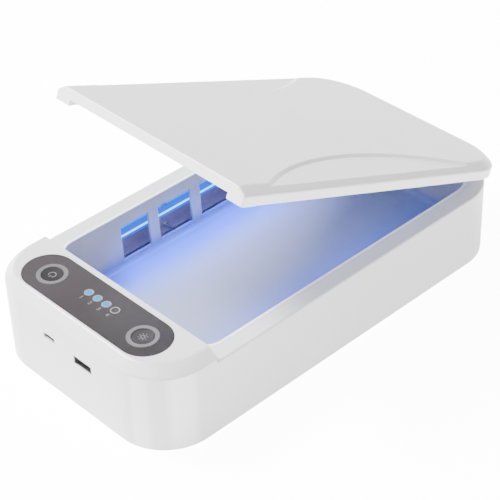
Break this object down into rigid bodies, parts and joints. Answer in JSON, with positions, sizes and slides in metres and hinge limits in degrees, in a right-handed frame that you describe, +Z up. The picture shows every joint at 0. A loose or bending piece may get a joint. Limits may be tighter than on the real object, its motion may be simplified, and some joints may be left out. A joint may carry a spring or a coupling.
{
  "type": "uv sanitizer box for phones",
  "caption": "White ultraviolet sanitizer box for phones, with a hinged lid held part open, a tray between tube lamps, and a dark control panel with round buttons and indicator lights.",
  "frame": {"origin": "on the resting plane, under the middle of the whole object with its lid open as pictured", "axes": "+X from the control end to the hinge end, +Y to the left long side seen from the control end, +Z up; mount base_rest faces -Z"},
  "size_m": [0.2274, 0.12, 0.117],
  "materials": {
    "casing": "satin gloss",
    "lid": "satin gloss",
    "lid_inner": "satin",
    "tray": "satin",
    "bottom_cover": "fine texture",
    "feet": "matt",
    "lamp_glass": "clear, lit blue",
    "reflector": "polished",
    "sockets_white": "moulded",
    "spring_steel": "bright",
    "wire_white": "PVC sleeve",
    "panel": "semi-gloss film over dark plate",
    "silver_trim": "satin silver",
    "keys": "satin",
    "switch_plunger": "moulded",
    "switch_body": "moulded",
    "lens_lit": "translucent, lit cyan-blue",
    "lens_unlit": "translucent, unlit",
    "led": "moulded",
    "baffle": "moulded",
    "board_green": "solder mask",
    "black_parts": "moulded",
    "capacitor": "can",
    "socket_shell": "plated",
    "socket_tongue": "moulded",
    "screw_steel": "zinc plated",
    "magnet": "nickel plated"
  },
  "bodies": {
    "base": {"outer_casing": "casing", "cavity_tray": "tray", "bottom_cover": "bottom_cover", "rubber_feet": "feet", "lamp_tube_left": "lamp_glass", "lamp_tube_right": "lamp_glass", "lamp_reflector_left": "reflector", "lamp_reflector_right": "reflector", "lamp_sockets": "sockets_white", "lamp_clips": "spring_steel", "lamp_leads": "wire_white", "control_panel": "panel", "button_rings": "silver_trim", "switch_bodies": "switch_body", "lit_indicator_lenses": "lens_lit", "unlit_indicator_lenses": "lens_unlit", "indicator_bezels": "silver_trim", "indicator_leds": "led", "light_baffle": "baffle", "display_board": "board_green", "power_board": "board_green", "driver_board": "board_green", "board_spacers": "sockets_white", "board_header": "black_parts", "controller_chip": "black_parts", "power_inductor": "black_parts", "lid_sensor": "black_parts", "driver_transformer": "black_parts", "driver_capacitor": "capacitor", "usb_a_socket": "socket_shell", "usb_a_tongue": "socket_tongue", "micro_usb_socket": "socket_shell", "micro_usb_tongue": "socket_tongue", "cover_screws": "screw_steel", "tray_screws": "screw_steel", "board_screws": "screw_steel", "board_end_screws": "screw_steel", "driver_screws": "screw_steel", "hinge_pins": "screw_steel"},
    "lid": {"lid_shell": "lid", "lid_inner_panel": "lid_inner", "lid_magnet": "magnet", "lid_screws": "screw_steel"},
    "power_button": {"power_button_key": "keys", "power_switch_plunger": "switch_plunger"},
    "mode_button": {"mode_button_key": "keys", "mode_switch_plunger": "switch_plunger"}
  },
  "joints": [
    {"name": "lid_hinge", "type": "hinge", "parent": "base", "child": "lid", "pos_m": [0.10658, 0, 0.0315], "axis": [0, 1, 0], "range_deg": [-22.5, 72.5]},
    {"name": "power_press", "type": "slide", "parent": "base", "child": "power_button", "axis": [0, 0, -1], "range_m": [0, 0.0005], "stiffness_N_per_m": 1600, "springref_m": -0.0004},
    {"name": "mode_press", "type": "slide", "parent": "base", "child": "mode_button", "axis": [0, 0, -1], "range_m": [0, 0.0005], "stiffness_N_per_m": 1600, "springref_m": -0.0004}
  ]
}
